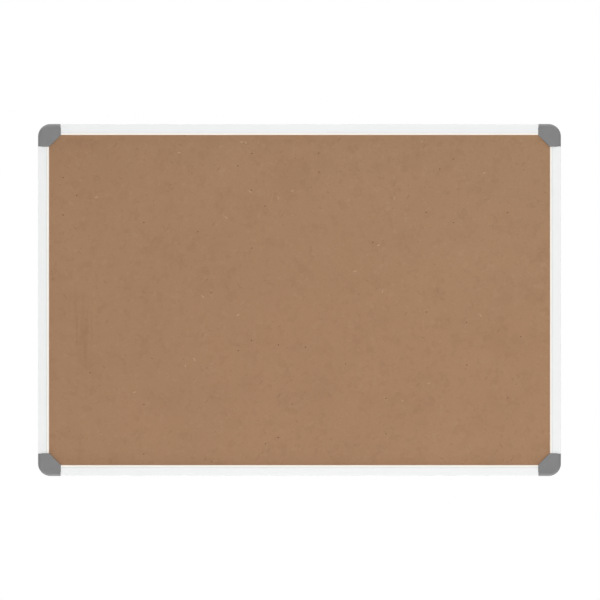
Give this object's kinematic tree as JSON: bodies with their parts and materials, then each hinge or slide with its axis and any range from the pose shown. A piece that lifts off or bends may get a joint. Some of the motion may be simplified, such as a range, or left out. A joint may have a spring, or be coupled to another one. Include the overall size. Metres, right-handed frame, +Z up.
{
  "type": "cork bulletin board",
  "caption": "Wall-mounted cork pinning board in a slim white aluminium frame with grey rounded plastic corner caps that hide the wall screws.",
  "frame": {"origin": "centre of the four wall screw holes, in the plane of the back that lies on the wall, which is also the middle of the board", "axes": "+Z up the board, +X to the right as seen from the front, +Y into the wall, so the cork faces -Y"},
  "size_m": [0.9186, 0.0175, 0.6186],
  "materials": {
    "cork": "fine-grained natural cork",
    "softboard": "soft wood fibreboard",
    "backing": "smooth brown hardboard",
    "rail": "white anodised, satin",
    "joint": "moulded, matt dark grey",
    "cap": "moulded, satin mid grey",
    "screw": "zinc plated"
  },
  "bodies": {
    "board": {"cork_sheet": "cork", "softboard_core": "softboard", "backing_sheet": "backing", "top_rail": "rail", "bottom_rail": "rail", "left_rail": "rail", "right_rail": "rail", "corner_joint_top_left": "joint", "corner_joint_top_right": "joint", "corner_joint_bottom_left": "joint", "corner_joint_bottom_right": "joint", "rail_screws": "screw"},
    "cap_top_left": {"corner_cap_top_left": "cap"},
    "cap_top_right": {"corner_cap_top_right": "cap"},
    "cap_bottom_left": {"corner_cap_bottom_left": "cap"},
    "cap_bottom_right": {"corner_cap_bottom_right": "cap"}
  },
  "joints": [
    {"name": "cap_top_left_lift", "type": "slide", "parent": "board", "child": "cap_top_left", "axis": [0, -1, 0], "range_m": [0, 0.03]},
    {"name": "cap_top_right_lift", "type": "slide", "parent": "board", "child": "cap_top_right", "axis": [0, -1, 0], "range_m": [0, 0.03]},
    {"name": "cap_bottom_left_lift", "type": "slide", "parent": "board", "child": "cap_bottom_left", "axis": [0, -1, 0], "range_m": [0, 0.03]},
    {"name": "cap_bottom_right_lift", "type": "slide", "parent": "board", "child": "cap_bottom_right", "axis": [0, -1, 0], "range_m": [0, 0.03]}
  ]
}
